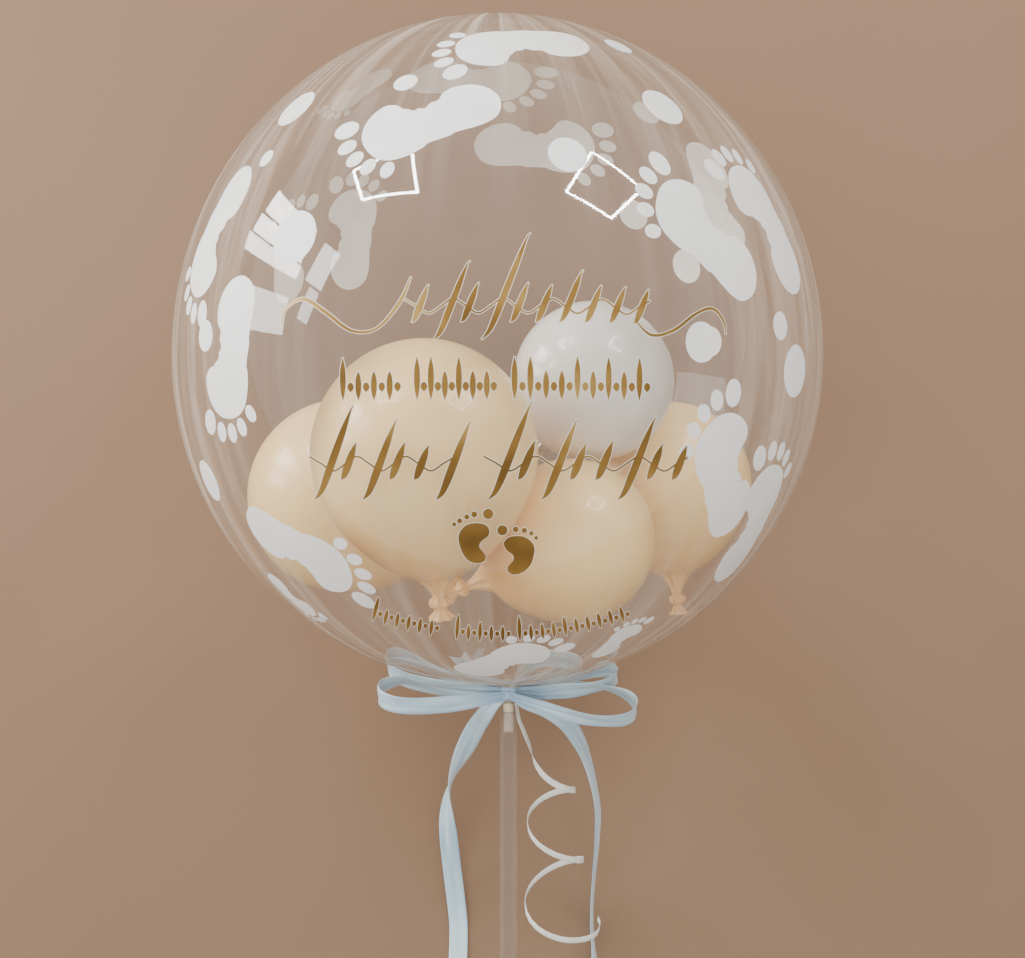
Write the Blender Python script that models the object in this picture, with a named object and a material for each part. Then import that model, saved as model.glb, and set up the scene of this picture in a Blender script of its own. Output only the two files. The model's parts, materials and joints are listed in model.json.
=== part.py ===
"""Clear party balloon on a stick, lying down: a stretch-film bubble with a gathered neck, a clear tube,
a satin bow with two long ends, and a curling ribbon.

Metres, +Z up. The bubble rests on a small flat spot whose centre is the origin, and the lower end of
the stick touches the same surface. The stick runs towards -Y.
"""

import math

import bmesh
import bpy
from mathutils import Matrix, Vector

# Bubble, measured along its own axis and across it
BUBBLE_WIDTH = 0.500
BUBBLE_RISE = 0.261
BUBBLE_DROP = 0.254
BUBBLE_SHIFT = 0.0085
FLAT_DEPTH = 0.003
BUBBLE_SEGMENTS = 64
DOME_RINGS = 30

# Gathered neck of the film
GATHER_RISE = 0.003
GATHER_RADIUS = 0.014
NECK_RADIUS = 0.0043
BANDED_RADIUS = 0.0027
FILM_END_RADIUS = 0.0038
FILM_END_LENGTH = 0.034
PLEATS = 16
PLEAT_DEPTH = 0.0012
PLEAT_REACH = 0.085
# How the film rounds from the gather into the neck: out from the neck, height above the tie
SHOULDER = [(0.0047, 0.0031), (0.0017, 0.0027), (0.0003, 0.0014)]
FLARE_LENGTH = 0.0016

# Stick
STICK_DIAMETER = 0.013
STICK_BORE = 0.010
STICK_LENGTH = 0.700
STICK_SEGMENTS = 32

# Elastic band inside the top of the stick
BAND_WALL = 0.0010
BAND_HEIGHT = 0.0065
BAND_DROP = 0.0035

# Satin ribbon
RIBBON_WIDTH = 0.015
RIBBON_THICKNESS = 0.0010
WRAP_WALL = 0.0021
WRAP_HEIGHT = 0.0088
WRAP_TOP = 0.0010
KNOT_SIZE = (0.013, 0.008, 0.0094)
KNOT_BEVEL = 0.0025
LOOP_STEPS = 26
PINCH = 0.48
FULL_WIDTH_AT = 0.45
ROOT_SPREAD = 0.1
BOW_END_STEP = 0.012
BOW_END_SLANT = 0.3

# Cords
TAIL_LENGTH = 0.400
TAIL_STEP = 0.005
CURL_RADIUS = 0.0225
CURL_STEP = 0.008

# Room left between pieces that touch
GAP = 0.0004
MERGE_DISTANCE = 1e-6

# Parts that a smooth curve is measured in between two of its points, and rounds that settle the slope
FINE_PARTS = 20
SETTLING_ROUNDS = 60


# The bow's loops in the upright frame whose origin is the tie of the neck: x right, y away, z up.
# root is the place on the wrap where the loop starts, in degrees from the right, 90 being the far side.
# end is the far bend, half_spread runs from the loop's middle to its front strand.
BOW_LOOPS = {
    "left_front": {"root": -90, "end": (-0.100, -0.010, -0.0028), "half_spread": (0.000, -0.020, -0.0065)},
    "left_back": {"root": 160, "end": (-0.093, 0.062, 0.0150), "half_spread": (-0.012, -0.018, -0.0050)},
    "right_front": {"root": -90, "end": (0.098, -0.008, -0.0147), "half_spread": (0.000, -0.020, -0.0080)},
    "right_back": {"root": 15, "end": (0.083, 0.036, 0.0080), "half_spread": (0.008, -0.018, -0.0050)},
    "far_back": {"root": 65, "end": (0.046, 0.104, 0.0150), "half_spread": (0.020, -0.006, -0.0040)},
}
BOW_END = [(-0.002, 0.006, -0.0035), (-0.012, 0.030, -0.003), (-0.026, 0.070, 0.006), (-0.043, 0.118, 0.020)]

# Routes of the cords: (side from the stick's axis, run from the tie towards the stick's end,
# height as a share of the tie's height, width as a share of the ribbon's, turn in degrees).
# A turn of 90 lays the ribbon flat and 0 stands it on its edge.
LEFT_TAIL = [
    (-0.0105, 0.0130, 1.046, 0.50, 90),
    (-0.0185, 0.0195, 0.950, 0.85, 90),
    (-0.0262, 0.0265, 0.819, 1.00, 86),
    (-0.0336, 0.0366, 0.677, 1.00, 66),
    (-0.0411, 0.0493, 0.535, 1.00, 28),
    (-0.0472, 0.0633, 0.399, 1.00, -14),
    (-0.0496, 0.0803, 0.273, 1.00, -52),
    (-0.0487, 0.0982, 0.175, 1.00, -78),
    (-0.0464, 0.1191, 0.087, 1.00, -88),
    (-0.0432, 0.1440, 0.027, 1.00, -90),
    (-0.0412, 0.1640, 0.000, 1.00, -90),
    (-0.0415, 0.1907, 0.000, 1.00, -90),
    (-0.0440, 0.2400, 0.000, 1.00, -90),
    (-0.0400, 0.3400, 0.000, 1.00, -90),
]
RIGHT_TAIL = [
    (0.0125, 0.0141, 1.028, 0.45, 90),
    (0.0290, 0.0165, 0.985, 0.80, 85),
    (0.0446, 0.0237, 0.900, 1.00, 76),
    (0.0559, 0.0355, 0.775, 1.00, 58),
    (0.0627, 0.0475, 0.644, 1.00, 36),
    (0.0689, 0.0656, 0.486, 1.00, 25),
    (0.0719, 0.0824, 0.360, 1.00, 24),
    (0.0715, 0.1038, 0.240, 1.00, 22),
    (0.0695, 0.1267, 0.137, 1.00, 20),
    (0.0681, 0.1487, 0.070, 1.00, 24),
    (0.0681, 0.1683, 0.030, 1.00, 27),
    (0.0697, 0.1908, 0.000, 1.00, 34),
    (0.0730, 0.2350, 0.000, 1.00, 80),
    (0.0690, 0.3400, 0.000, 1.00, 90),
]
# The curling ribbon's middle line, with the radius of its coils as a share of CURL_RADIUS
CURL_ROUTE = [
    (0.0100, 0.0170, 0.985, 0.13),
    (0.0143, 0.0337, 0.901, 0.20),
    (0.0262, 0.0530, 0.754, 0.70),
    (0.0335, 0.0729, 0.612, 1.00),
    (0.0361, 0.0941, 0.475, 1.00),
    (0.0372, 0.1197, 0.339, 1.00),
    (0.0388, 0.1441, 0.225, 1.00),
    (0.0405, 0.1680, 0.140, 0.95),
]


def remove_everything():
    for old in list(bpy.data.objects):
        bpy.data.objects.remove(old)


def material(name, colour, roughness, alpha=1.0):
    """A Principled finish named for what it covers."""
    made = bpy.data.materials.new(name)
    made.use_nodes = True
    shader = made.node_tree.nodes["Principled BSDF"]
    shader.inputs["Base Color"].default_value = (*colour, 1)
    shader.inputs["Roughness"].default_value = roughness
    shader.inputs["Metallic"].default_value = 0.0
    shader.inputs["Alpha"].default_value = alpha
    return made


def lie_angle():
    """The slope of the stick, and the height of the bubble's middle, when both touch the floor."""
    reach = BUBBLE_DROP + GATHER_RISE + tube_drop() + STICK_LENGTH
    slope = 0.0
    height = BUBBLE_WIDTH / 2
    for _ in range(SETTLING_ROUNDS):
        across = BUBBLE_WIDTH / 2 * math.cos(slope)
        along = BUBBLE_DROP * math.sin(slope)
        height = math.hypot(across, along) - FLAT_DEPTH
        slope = math.asin((height - STICK_DIAMETER / 2 * math.cos(slope)) / reach)
    return slope, height


def tube_drop():
    """How far the top of the stick is below the tie."""
    return WRAP_HEIGHT - WRAP_TOP + GAP


def centre_height():
    return BUBBLE_DROP + GATHER_RISE


def side_shift(radius, height):
    """How far the film stands to the left of the stick's axis: less and less towards the neck."""
    if height > centre_height():
        return BUBBLE_SHIFT
    return BUBBLE_SHIFT * min(1.0, max(0.0, radius - GATHER_RADIUS) / PLEAT_REACH)


def film_underside(x, y):
    """Height of the plain film above the tie, at a place under the bubble in the upright frame."""
    off_axis = math.hypot(x + side_shift(math.hypot(x, y), 0), y) / (BUBBLE_WIDTH / 2)
    return centre_height() - BUBBLE_DROP * math.sqrt(max(0.0, 1 - off_axis**2))


def flat_centre(slope):
    """Middle of the flat spot from the bubble's middle, in the upright frame."""
    out = Vector((0, math.cos(slope), -math.sin(slope)))
    radius = BUBBLE_WIDTH / 2
    support = math.hypot(radius * out.y, BUBBLE_DROP * out.z)
    touch = Vector((0, radius**2 * out.y, BUBBLE_DROP**2 * out.z)) / support
    return touch * (support - FLAT_DEPTH) / support, out


def new_object(name, mesh, finish, parent):
    made = bpy.data.objects.new(name, mesh)
    bpy.context.scene.collection.objects.link(made)
    made.data.materials.append(finish)
    made.parent = parent
    return made


def finished_mesh(name, bm, sharp_angle=40):
    bmesh.ops.recalc_face_normals(bm, faces=bm.faces)
    mesh = bpy.data.meshes.new(name)
    bm.to_mesh(mesh)
    bm.free()
    mesh.shade_smooth()
    mesh.set_sharp_from_angle(angle=math.radians(sharp_angle))
    return mesh


def turned(profile, segments, closed):
    """A bmesh turned round Z from (radius, height) pairs; closed profiles are rings clear of the axis."""
    bm = bmesh.new()
    verts = [bm.verts.new((radius, 0, height)) for radius, height in profile]
    edges = [bm.edges.new(pair) for pair in zip(verts, verts[1:])]
    if closed:
        edges.append(bm.edges.new((verts[-1], verts[0])))
    bmesh.ops.spin(
        bm,
        geom=verts + edges,
        cent=(0, 0, 0),
        axis=(0, 0, 1),
        angle=2 * math.pi,
        steps=segments,
        use_merge=True,
    )
    bmesh.ops.remove_doubles(bm, verts=bm.verts, dist=MERGE_DISTANCE)
    return bm


def dome_profile():
    """(radius, height) from the bubble's top round its widest ring to where the film gathers."""
    profile = []
    centre = centre_height()
    last = math.acos(GATHER_RADIUS / (BUBBLE_WIDTH / 2))
    for ring in range(DOME_RINGS + 1):
        angle = math.pi / 2 - (math.pi / 2 + last) * ring / DOME_RINGS
        rise = BUBBLE_RISE if angle > 0 else BUBBLE_DROP
        profile.append((BUBBLE_WIDTH / 2 * math.cos(angle), centre + rise * math.sin(angle)))
    profile[0] = (0.0, centre + BUBBLE_RISE)
    return profile


def neck_profile():
    """(radius, height) from the gather down through the tie and the band to the film's end."""
    band_top = -tube_drop() - BAND_DROP
    band_bottom = band_top - BAND_HEIGHT
    shoulder = [(NECK_RADIUS + out, height) for out, height in SHOULDER]
    return shoulder + [
        (NECK_RADIUS, -WRAP_TOP),
        (NECK_RADIUS, -WRAP_HEIGHT + WRAP_TOP),
        (BANDED_RADIUS, band_top + GAP),
        (BANDED_RADIUS, band_bottom - GAP),
        (FILM_END_RADIUS, band_bottom - FLARE_LENGTH),
        (FILM_END_RADIUS, -FILM_END_LENGTH),
        (0.0, -FILM_END_LENGTH),
    ]


def clear_bubble(finish, parent, slope):
    bm = turned(dome_profile() + neck_profile(), BUBBLE_SEGMENTS, closed=False)
    for vert in bm.verts:
        radius = math.hypot(vert.co.x, vert.co.y)
        gathered = max(0.0, 1 - radius / PLEAT_REACH) if vert.co.z < centre_height() else 0.0
        fold = math.cos(PLEATS * math.atan2(vert.co.y, vert.co.x))
        if radius > GATHER_RADIUS - GAP:
            vert.co.z += PLEAT_DEPTH * gathered**2 * fold
        vert.co.x -= side_shift(radius, vert.co.z)
    middle, out = flat_centre(slope)
    middle += Vector((-BUBBLE_SHIFT, 0, centre_height()))
    cut = bmesh.ops.bisect_plane(
        bm,
        geom=bm.verts[:] + bm.edges[:] + bm.faces[:],
        dist=MERGE_DISTANCE,
        plane_co=middle,
        plane_no=out,
        clear_outer=True,
    )
    rim = [piece for piece in cut["geom_cut"] if isinstance(piece, bmesh.types.BMEdge)]
    bmesh.ops.edgeloop_fill(bm, edges=rim)
    return new_object("clear_bubble", finished_mesh("clear_bubble", bm), finish, parent)


def ring_profile(inner, outer, bottom, top):
    return [(inner, bottom), (outer, bottom), (outer, top), (inner, top)]


def balloon_stick(finish, parent):
    top = -tube_drop()
    profile = ring_profile(STICK_BORE / 2, STICK_DIAMETER / 2, top - STICK_LENGTH, top)
    bm = turned(profile, STICK_SEGMENTS, closed=True)
    return new_object("balloon_stick", finished_mesh("balloon_stick", bm), finish, parent)


def neck_band(finish, parent):
    top = -tube_drop() - BAND_DROP
    inner = BANDED_RADIUS + GAP
    profile = ring_profile(inner, inner + BAND_WALL, top - BAND_HEIGHT, top)
    bm = turned(profile, STICK_SEGMENTS // 2, closed=True)
    return new_object("neck_band", finished_mesh("neck_band", bm), finish, parent)


def swept_strip(stations, thickness):
    """A flat closed strip through (middle, across, half width) stations, made by extruding its end."""
    bm = bmesh.new()
    face = None
    for number, (middle, across, half) in enumerate(stations):
        ahead = stations[min(number + 1, len(stations) - 1)][0]
        behind = stations[max(number - 1, 0)][0]
        along = (ahead - behind).normalized()
        across = (across - across.dot(along) * along).normalized()
        through = along.cross(across) * thickness / 2
        corners = [middle + across * half * a + through * b for a, b in ((-1, -1), (1, -1), (1, 1), (-1, 1))]
        if face is None:
            face = bm.faces.new([bm.verts.new(corner) for corner in corners])
            previous = corners
            continue
        pushed = bmesh.ops.extrude_face_region(bm, geom=[face])
        if number > 1:
            bmesh.ops.delete(bm, geom=[face], context="FACES_ONLY")
        face = next(piece for piece in pushed["geom"] if isinstance(piece, bmesh.types.BMFace))
        for vert in face.verts:
            same = min(range(4), key=lambda k: (vert.co - previous[k]).length_squared)
            vert.co = corners[same]
        previous = corners
    return bm


def wrap_place(degrees, out=0.0):
    """A place in the middle of the wrap's wall, or further out from the neck."""
    radius = NECK_RADIUS + GAP + WRAP_WALL / 2 + out
    angle = math.radians(degrees)
    return Vector((radius * math.cos(angle), radius * math.sin(angle), WRAP_TOP - WRAP_HEIGHT / 2))


def kept_under_film(middle, across, half):
    """The middle of a strip, lowered where its upper edge would reach the film's pleats."""
    edge = middle + across * half
    roof = film_underside(edge.x, edge.y) - PLEAT_DEPTH - RIBBON_THICKNESS - GAP
    return middle - Vector((0, 0, max(0.0, edge.z - roof)))


def loop_stations(root, end, half_spread):
    """A drop-shaped loop from the wrap to its far bend and back, kept under the film."""
    start = wrap_place(root, KNOT_SIZE[1] / 2 if root == -90 else 0.0)
    reach = Vector(end) - start
    spread = Vector(half_spread)
    across = reach.cross(spread).normalized()
    if across.z < 0:
        across = -across
    stations = []
    for step in range(LOOP_STEPS + 1):
        share = step / LOOP_STEPS
        out = math.sin(math.pi * share)
        sideways = math.sin(2 * math.pi * share) + ROOT_SPREAD * math.cos(math.pi * share)
        middle = start + reach * out + spread * sideways
        half = RIBBON_WIDTH / 2 * (PINCH + (1 - PINCH) * min(1.0, out / FULL_WIDTH_AT))
        stations.append((kept_under_film(middle, across, half), across, half))
    return stations


def ribbon_bow(finish, parent):
    """The wrap round the neck, the knot, the loops and the short back end, joined into one solid."""
    inner = NECK_RADIUS + GAP
    profile = ring_profile(inner, inner + WRAP_WALL, WRAP_TOP - WRAP_HEIGHT, WRAP_TOP)
    bow = new_object("ribbon_bow", finished_mesh("wrap", turned(profile, STICK_SEGMENTS, True)), finish, parent)
    knot = bmesh.new()
    bmesh.ops.create_cube(knot, size=1)
    bmesh.ops.scale(knot, vec=KNOT_SIZE, verts=knot.verts)
    bmesh.ops.bevel(
        knot, geom=knot.edges[:], offset=KNOT_BEVEL, segments=2, profile=0.5, affect="EDGES", material=-1
    )
    bmesh.ops.translate(knot, vec=wrap_place(-90, KNOT_SIZE[1] / 2), verts=knot.verts)
    pieces = [("knot", knot)]
    for name, shape in BOW_LOOPS.items():
        pieces.append((name, swept_strip(loop_stations(**shape), RIBBON_THICKNESS)))
    route = smooth_route([Vector(point) for point in BOW_END], BOW_END_STEP)
    across = Vector((1, 0, BOW_END_SLANT)).normalized()
    half = RIBBON_WIDTH / 2 * PINCH
    stations = [(kept_under_film(point, across, half), across, half) for point in route]
    pieces.append(("back_end", swept_strip(stations, RIBBON_THICKNESS)))
    for name, bm in pieces:
        helper = new_object(f"bow_{name}", finished_mesh(name, bm), finish, parent)
        helper.hide_render = True
        helper.display_type = "WIRE"
        union = bow.modifiers.new(name, "BOOLEAN")
        union.operation = "UNION"
        union.object = helper
    return bow


def distance(one, other):
    return (Vector(other[:3]) - Vector(one[:3])).length


def smooth_route(points, step):
    """Points about one step apart on a smooth curve through the given ones, of any dimension."""
    dense = []
    ends = [2 * points[0] - points[1], *points, 2 * points[-1] - points[-2]]
    for a, b, c, d in zip(ends, ends[1:], ends[2:], ends[3:]):
        for part in range(FINE_PARTS):
            t = part / FINE_PARTS
            dense.append(
                0.5 * (2 * b + (c - a) * t + (2 * a - 5 * b + 4 * c - d) * t**2 + (3 * b - a - 3 * c + d) * t**3)
            )
    dense.append(points[-1])
    chosen = [dense[0]]
    travelled = 0.0
    for before, after in zip(dense, dense[1:]):
        travelled += distance(before, after)
        if travelled >= step:
            chosen.append(after)
            travelled = 0.0
    return chosen


def cord_curve(name, finish, points, bevel, extrude):
    """A tube or a flat strip along (x, y, z, radius share, turn) points."""
    curve = bpy.data.curves.new(name, "CURVE")
    curve.dimensions = "3D"
    curve.twist_mode = "Z_UP"
    curve.extrude = extrude
    curve.bevel_depth = bevel
    curve.bevel_resolution = 0 if extrude else 2
    curve.use_fill_caps = True
    spline = curve.splines.new("POLY")
    spline.points.add(len(points) - 1)
    for point, place in zip(spline.points, points):
        point.co = (*place[:3], 1)
        point.radius = place[3]
        point.tilt = math.radians(place[4])
    return new_object(name, curve, finish, None)


def laid_route(route, tie, lowest):
    """World points of a route, kept above the floor by what the ribbon's turn needs."""
    points = []
    for side, run, share, radius, turn in route:
        height = max(share * tie.z, lowest(turn))
        points.append(Vector((tie.x + side, tie.y - run, height, radius, turn)))
    return points


def cut_to_length(points, length):
    kept = [points[0]]
    left = length
    for before, after in zip(points, points[1:]):
        piece = distance(before, after)
        if piece > left:
            kept.append(before.lerp(after, left / piece))
            break
        kept.append(after)
        left -= piece
    return kept


def ribbon_tail(name, route, finish, tie):
    def lowest(turn):
        return RIBBON_WIDTH / 2 * abs(math.cos(math.radians(turn))) + RIBBON_THICKNESS

    points = smooth_route(laid_route(route, tie, lowest), TAIL_STEP)
    points = cut_to_length(points, TAIL_LENGTH)
    bevel = RIBBON_THICKNESS / 2
    tail = cord_curve(name, finish, points, bevel, RIBBON_WIDTH / 2 - bevel)
    # Its twisted faces are split the short way, so that the thin strip's two sides don't cross
    split = tail.modifiers.new("split", "TRIANGULATE")
    split.quad_method = "SHORTEST_DIAGONAL"
    return tail


def curling_ribbon(finish, tie):
    route = [(side, run, share, radius, 0) for side, run, share, radius in CURL_ROUTE]
    points = smooth_route(laid_route(route, tie, lambda turn: CURL_RADIUS + RIBBON_THICKNESS), CURL_STEP)
    return cord_curve("curling_ribbon", finish, points, CURL_RADIUS, 0)


def main():
    remove_everything()
    film = material("clear film", (0.93, 0.94, 0.94), 0.05, alpha=0.3)
    plastic = material("clear plastic", (0.90, 0.90, 0.88), 0.12, alpha=0.5)
    elastic = material("pale elastic", (0.75, 0.66, 0.42), 0.45)
    satin = material("pale blue satin", (0.45, 0.62, 0.72), 0.35)
    cream = material("cream curling ribbon", (0.78, 0.79, 0.72), 0.30)

    slope, height = lie_angle()
    middle, _ = flat_centre(slope)
    lean = Matrix.Rotation(slope - math.pi / 2, 4, "X")
    bubble_middle = -(lean.to_3x3() @ middle)
    tie = bubble_middle + lean.to_3x3() @ Vector((BUBBLE_SHIFT, 0, -centre_height()))

    upright = bpy.data.objects.new("upright", None)
    bpy.context.scene.collection.objects.link(upright)
    upright.matrix_world = Matrix.Translation(tie) @ lean

    clear_bubble(film, upright, slope)
    neck_band(elastic, upright)
    balloon_stick(plastic, upright)
    ribbon_bow(satin, upright)
    ribbon_tail("ribbon_tail_left", LEFT_TAIL, satin, tie)
    ribbon_tail("ribbon_tail_right", RIGHT_TAIL, satin, tie)
    curling_ribbon(cream, tie)


main()
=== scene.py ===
"""Clear party balloon on a stick, lying on a plain floor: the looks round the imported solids.

Metres. Most pieces are made in the upright frame, whose origin is the tie of the neck, with x to the
right, y away and z up to the bubble's top, and are then laid down on the floor with the stick's slope.
"""

import json
import math

import bmesh
import bpy
from mathutils import Matrix, Vector, noise


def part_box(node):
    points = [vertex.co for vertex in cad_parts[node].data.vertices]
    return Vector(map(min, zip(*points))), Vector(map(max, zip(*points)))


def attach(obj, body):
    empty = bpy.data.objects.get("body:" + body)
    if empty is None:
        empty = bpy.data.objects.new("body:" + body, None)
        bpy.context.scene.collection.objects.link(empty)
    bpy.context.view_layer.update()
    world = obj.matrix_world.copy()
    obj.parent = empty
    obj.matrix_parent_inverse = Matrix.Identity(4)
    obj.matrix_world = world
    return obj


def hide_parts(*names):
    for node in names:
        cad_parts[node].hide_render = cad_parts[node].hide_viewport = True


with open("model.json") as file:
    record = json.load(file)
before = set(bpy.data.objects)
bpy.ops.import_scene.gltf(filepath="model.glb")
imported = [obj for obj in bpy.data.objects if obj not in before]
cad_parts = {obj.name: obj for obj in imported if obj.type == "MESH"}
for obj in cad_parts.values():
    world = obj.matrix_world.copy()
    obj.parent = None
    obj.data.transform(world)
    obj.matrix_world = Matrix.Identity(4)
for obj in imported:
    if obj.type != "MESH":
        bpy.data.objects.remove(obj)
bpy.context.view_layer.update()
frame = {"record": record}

# Camera: the width of what it sees at its aim, and its distance from there
VIEW_WIDTH = 0.7913
CAMERA_DISTANCE = 2.2
AIM = Vector((0.00308, 0.0, 0.1613))
SENSOR = 36.0

# Bubble and neck, as the solids have them
BUBBLE_RADIUS = 0.250
BUBBLE_RISE = 0.261
BUBBLE_DROP = 0.254
BUBBLE_SHIFT = 0.0085
BUBBLE_MIDDLE = 0.257
BUBBLE_CENTRE = Vector((-BUBBLE_SHIFT, 0, BUBBLE_MIDDLE))
FLAT_DEPTH = 0.003
GATHER_RADIUS = 0.014
NECK_RADIUS = 0.0043
BANDED_RADIUS = 0.0027
FILM_END_RADIUS = 0.0038
FILM_END_LENGTH = 0.034
PLEAT_REACH = 0.085
PLEAT_LIFT = 0.0012

# Stick, band and ribbon, as the solids have them
STICK_LENGTH = 0.700
STICK_RADIUS = 0.0065
STICK_BORE_RADIUS = 0.005
TUBE_DROP = 0.0082
BAND_TOP = -0.0117
BAND_HEIGHT = 0.0065
RIBBON_WIDTH = 0.015
WRAP_TOP = 0.0010
WRAP_HEIGHT = 0.0088
WRAP_WALL = 0.0021
KNOT_SIZE = (0.013, 0.008, 0.0094)
PINCH = 0.48
FULL_WIDTH_AT = 0.45
ROOT_SPREAD = 0.1
FOLD_ROOM = 0.0010
GAP = 0.0004
SATIN_THICKNESS = 0.00035
TAIL_LENGTH = 0.400

# Curling ribbon
CURL_WIDTH = 0.005
CURL_THICKNESS = 0.00030
CURL_RADIUS = 0.0207
CURL_PITCH = 0.0703
CURL_STRAIGHT = 0.055
CURL_START_ANGLE = 3.98
CURL_LEAN = -0.43

# How far the prints stand off the film
PRINT_LIFT = 0.00010
GOLD_LIFT = 0.00022

# Satin ends: side and run from the tie, share of its height, share of the ribbon's width, turn in degrees
LEFT_TAIL = [
    (-0.0040, 0.0085, 1.034, 0.40, 90), (-0.0108, 0.0132, 1.030, 0.62, 90),
    (-0.0185, 0.0195, 0.955, 0.90, 90), (-0.0262, 0.0265, 0.819, 1.00, 86),
    (-0.0336, 0.0366, 0.677, 1.00, 66), (-0.0411, 0.0493, 0.535, 1.00, 28),
    (-0.0472, 0.0633, 0.399, 1.00, -14), (-0.0496, 0.0803, 0.273, 1.00, -52),
    (-0.0487, 0.0982, 0.175, 1.00, -78), (-0.0464, 0.1191, 0.087, 1.00, -88),
    (-0.0432, 0.1440, 0.027, 1.00, -90), (-0.0412, 0.1640, 0.000, 1.00, -90),
    (-0.0415, 0.1907, 0.000, 1.00, -90), (-0.0440, 0.2400, 0.000, 1.00, -90),
    (-0.0400, 0.3400, 0.000, 1.00, -90),
]
RIGHT_TAIL = [
    (0.0050, 0.0085, 1.034, 0.40, 90), (0.0135, 0.0130, 1.026, 0.60, 90),
    (0.0290, 0.0165, 0.985, 0.85, 85), (0.0446, 0.0237, 0.900, 1.00, 76),
    (0.0559, 0.0355, 0.775, 1.00, 58), (0.0627, 0.0475, 0.644, 1.00, 36),
    (0.0689, 0.0656, 0.486, 1.00, 25), (0.0719, 0.0824, 0.360, 1.00, 21),
    (0.0715, 0.1038, 0.240, 1.00, 15), (0.0695, 0.1267, 0.137, 1.00, 11),
    (0.0681, 0.1487, 0.070, 1.00, 10), (0.0681, 0.1683, 0.030, 1.00, 12),
    (0.0697, 0.1908, 0.000, 1.00, 18), (0.0730, 0.2350, 0.000, 1.00, 80),
    (0.0690, 0.3400, 0.000, 1.00, 90),
]
# Middle line of the coils: side and run from the tie, share of its height, share of the coils' radius
CURL_ROUTE = [
    (0.0060, 0.0095, 1.005, 0.00), (0.0085, 0.0221, 0.955, 0.02), (0.0145, 0.0343, 0.901, 0.06),
    (0.0290, 0.0514, 0.754, 0.45), (0.0345, 0.0760, 0.612, 1.00), (0.0362, 0.0970, 0.475, 1.00),
    (0.0400, 0.1260, 0.339, 1.00), (0.0340, 0.1605, 0.245, 1.12), (0.0440, 0.1735, 0.195, 1.16),
    (0.0565, 0.1735, 0.205, 1.26),
]
# Loops of the bow: where each leaves the knot in degrees, its far bend from the tie, half the way between its
# strands, and how far its near and far strand are turned towards the viewer in degrees
BOW_LOOPS = {
    "left_front": (-90, (-0.100, -0.010, -0.0030), (0.000, -0.020, -0.0080), (8, 42)),
    "left_back": (160, (-0.094, 0.072, 0.0205), (-0.010, -0.017, -0.0095), (4, 14)),
    "right_front": (-90, (0.098, -0.008, -0.0147), (0.000, -0.020, -0.0105), (24, 46)),
    "right_back": (15, (0.083, 0.036, 0.0100), (0.008, -0.018, -0.0050), (34, 50)),
    "far_back": (65, (0.046, 0.104, 0.0150), (0.020, -0.006, -0.0040), (0, 0)),
}
BOW_END = [(-0.002, 0.006, -0.0035), (-0.012, 0.030, -0.003), (-0.026, 0.070, 0.006), (-0.043, 0.118, 0.020)]

# Small balloons sealed in the bubble: middle from the bubble's middle, radius, stretch, way of the neck and
# colour
SMALL_BALLOONS = {
    "small_balloon_left": ((-0.053, -0.120, -0.078), 0.0835, 1.02, (0.10, 0.25, -1), "cream"),
    "small_balloon_far_left": ((-0.121, 0.050, -0.109), 0.0765, 1.0, (0.75, 0.25, -0.6), "cream"),
    "small_balloon_pearl": ((0.0735, -0.016, -0.021), 0.062, 1.0, (-0.5, 0.8, -0.6), "pearl"),
    "small_balloon_middle": ((0.0555, -0.047, -0.143), 0.0625, 1.02, (-0.8, 0.1, -0.35), "cream"),
    "small_balloon_right": ((0.1354, 0.065, -0.100), 0.066, 1.0, (0.08, 0.05, -1), "cream"),
}

# Footprints on the film, in millimetres from the bubble's middle: side and height of the ball of the
# foot and of its heel, the side of the big toe, 1 to the left of someone who looks towards the toes, and size
FRONT_PRINTS = [
    (-7, 216, 48, 223, 1, 1.0), (-73, 150, -17, 168, -1, 1.0), (131, 94, 173, 51, -1, 1.0),
    (183, 113, 214, 58, 1, 1.0), (-217, 54, -188, 121, 1, 0.98), (-195, -30, -185, 29, -1, 1.0),
    (161, -73, 168, -119, -1, 1.0), (-121, -160, -170, -132, -1, 0.96),
    (23, -223, -19, -238, -1, 0.80), (94, -211, 82, -222, -1, 0.48),
    (196, -107, 176, -156, 1, 1.0), (-149, -186, -158, -178, 1, 0.46),
]
BACK_PRINTS = [
    (-3, 230, -47, 230, -1, 1.0), (55, 182, 3, 183, -1, 1.0), (-123, 124, -125, 86, -1, 0.85),
    (183, 114, 170, 155, -1, 1.0), (-171, 104, -175, 71, 1, 0.75), (-115, 214, -104, 221, 1, 0.55),
]
# Dots on the film: side, height and radius in millimetres
FRONT_DOTS = [
    (120, 173, 17), (-147, 176, 17), (-142, 75, 19), (50, 131, 14), (144, 0, 14), (218, -17, 19),
    (205, 15, 10), (-213, -97, 16), (90, 225, 11), (-65, 188, 9), (-211, 8, 11), (-167, 137, 7),
]
BACK_DOTS = [(157, 82, 14), (177, 19, 12), (113, 126, 13), (120, 201, 12)]

# A generic bare footprint in millimetres: from the heel's middle towards the toes, and towards the big toe
SOLE = [
    (-20, 0), (-15, -14), (-2, -20), (18, -21), (22, -22.5), (38, -23), (42, -25),
    (54, -27), (68, -24.5), (78, -15), (82.5, 1), (79, 14), (70, 23), (59, 26.5),
    (51, 22), (49, 16.5), (46, 15.5), (41, 11), (37, 11.5), (33, 9.5), (28, 13),
    (24, 13), (20.5, 15), (18, 19), (9, 22.5), (-4, 21), (-15, 13),
]
SOLE_MIDDLE = (34, -5)
TOES = [
    (91, 21, 10, 8), (94, 4.5, 7.6, 6), (91, -9.5, 7.2, 5.7), (83.5, -21.5, 6.8, 5.4),
    (71, -31.5, 6.6, 5.2),
]
PRINT_BALL = 60

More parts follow.
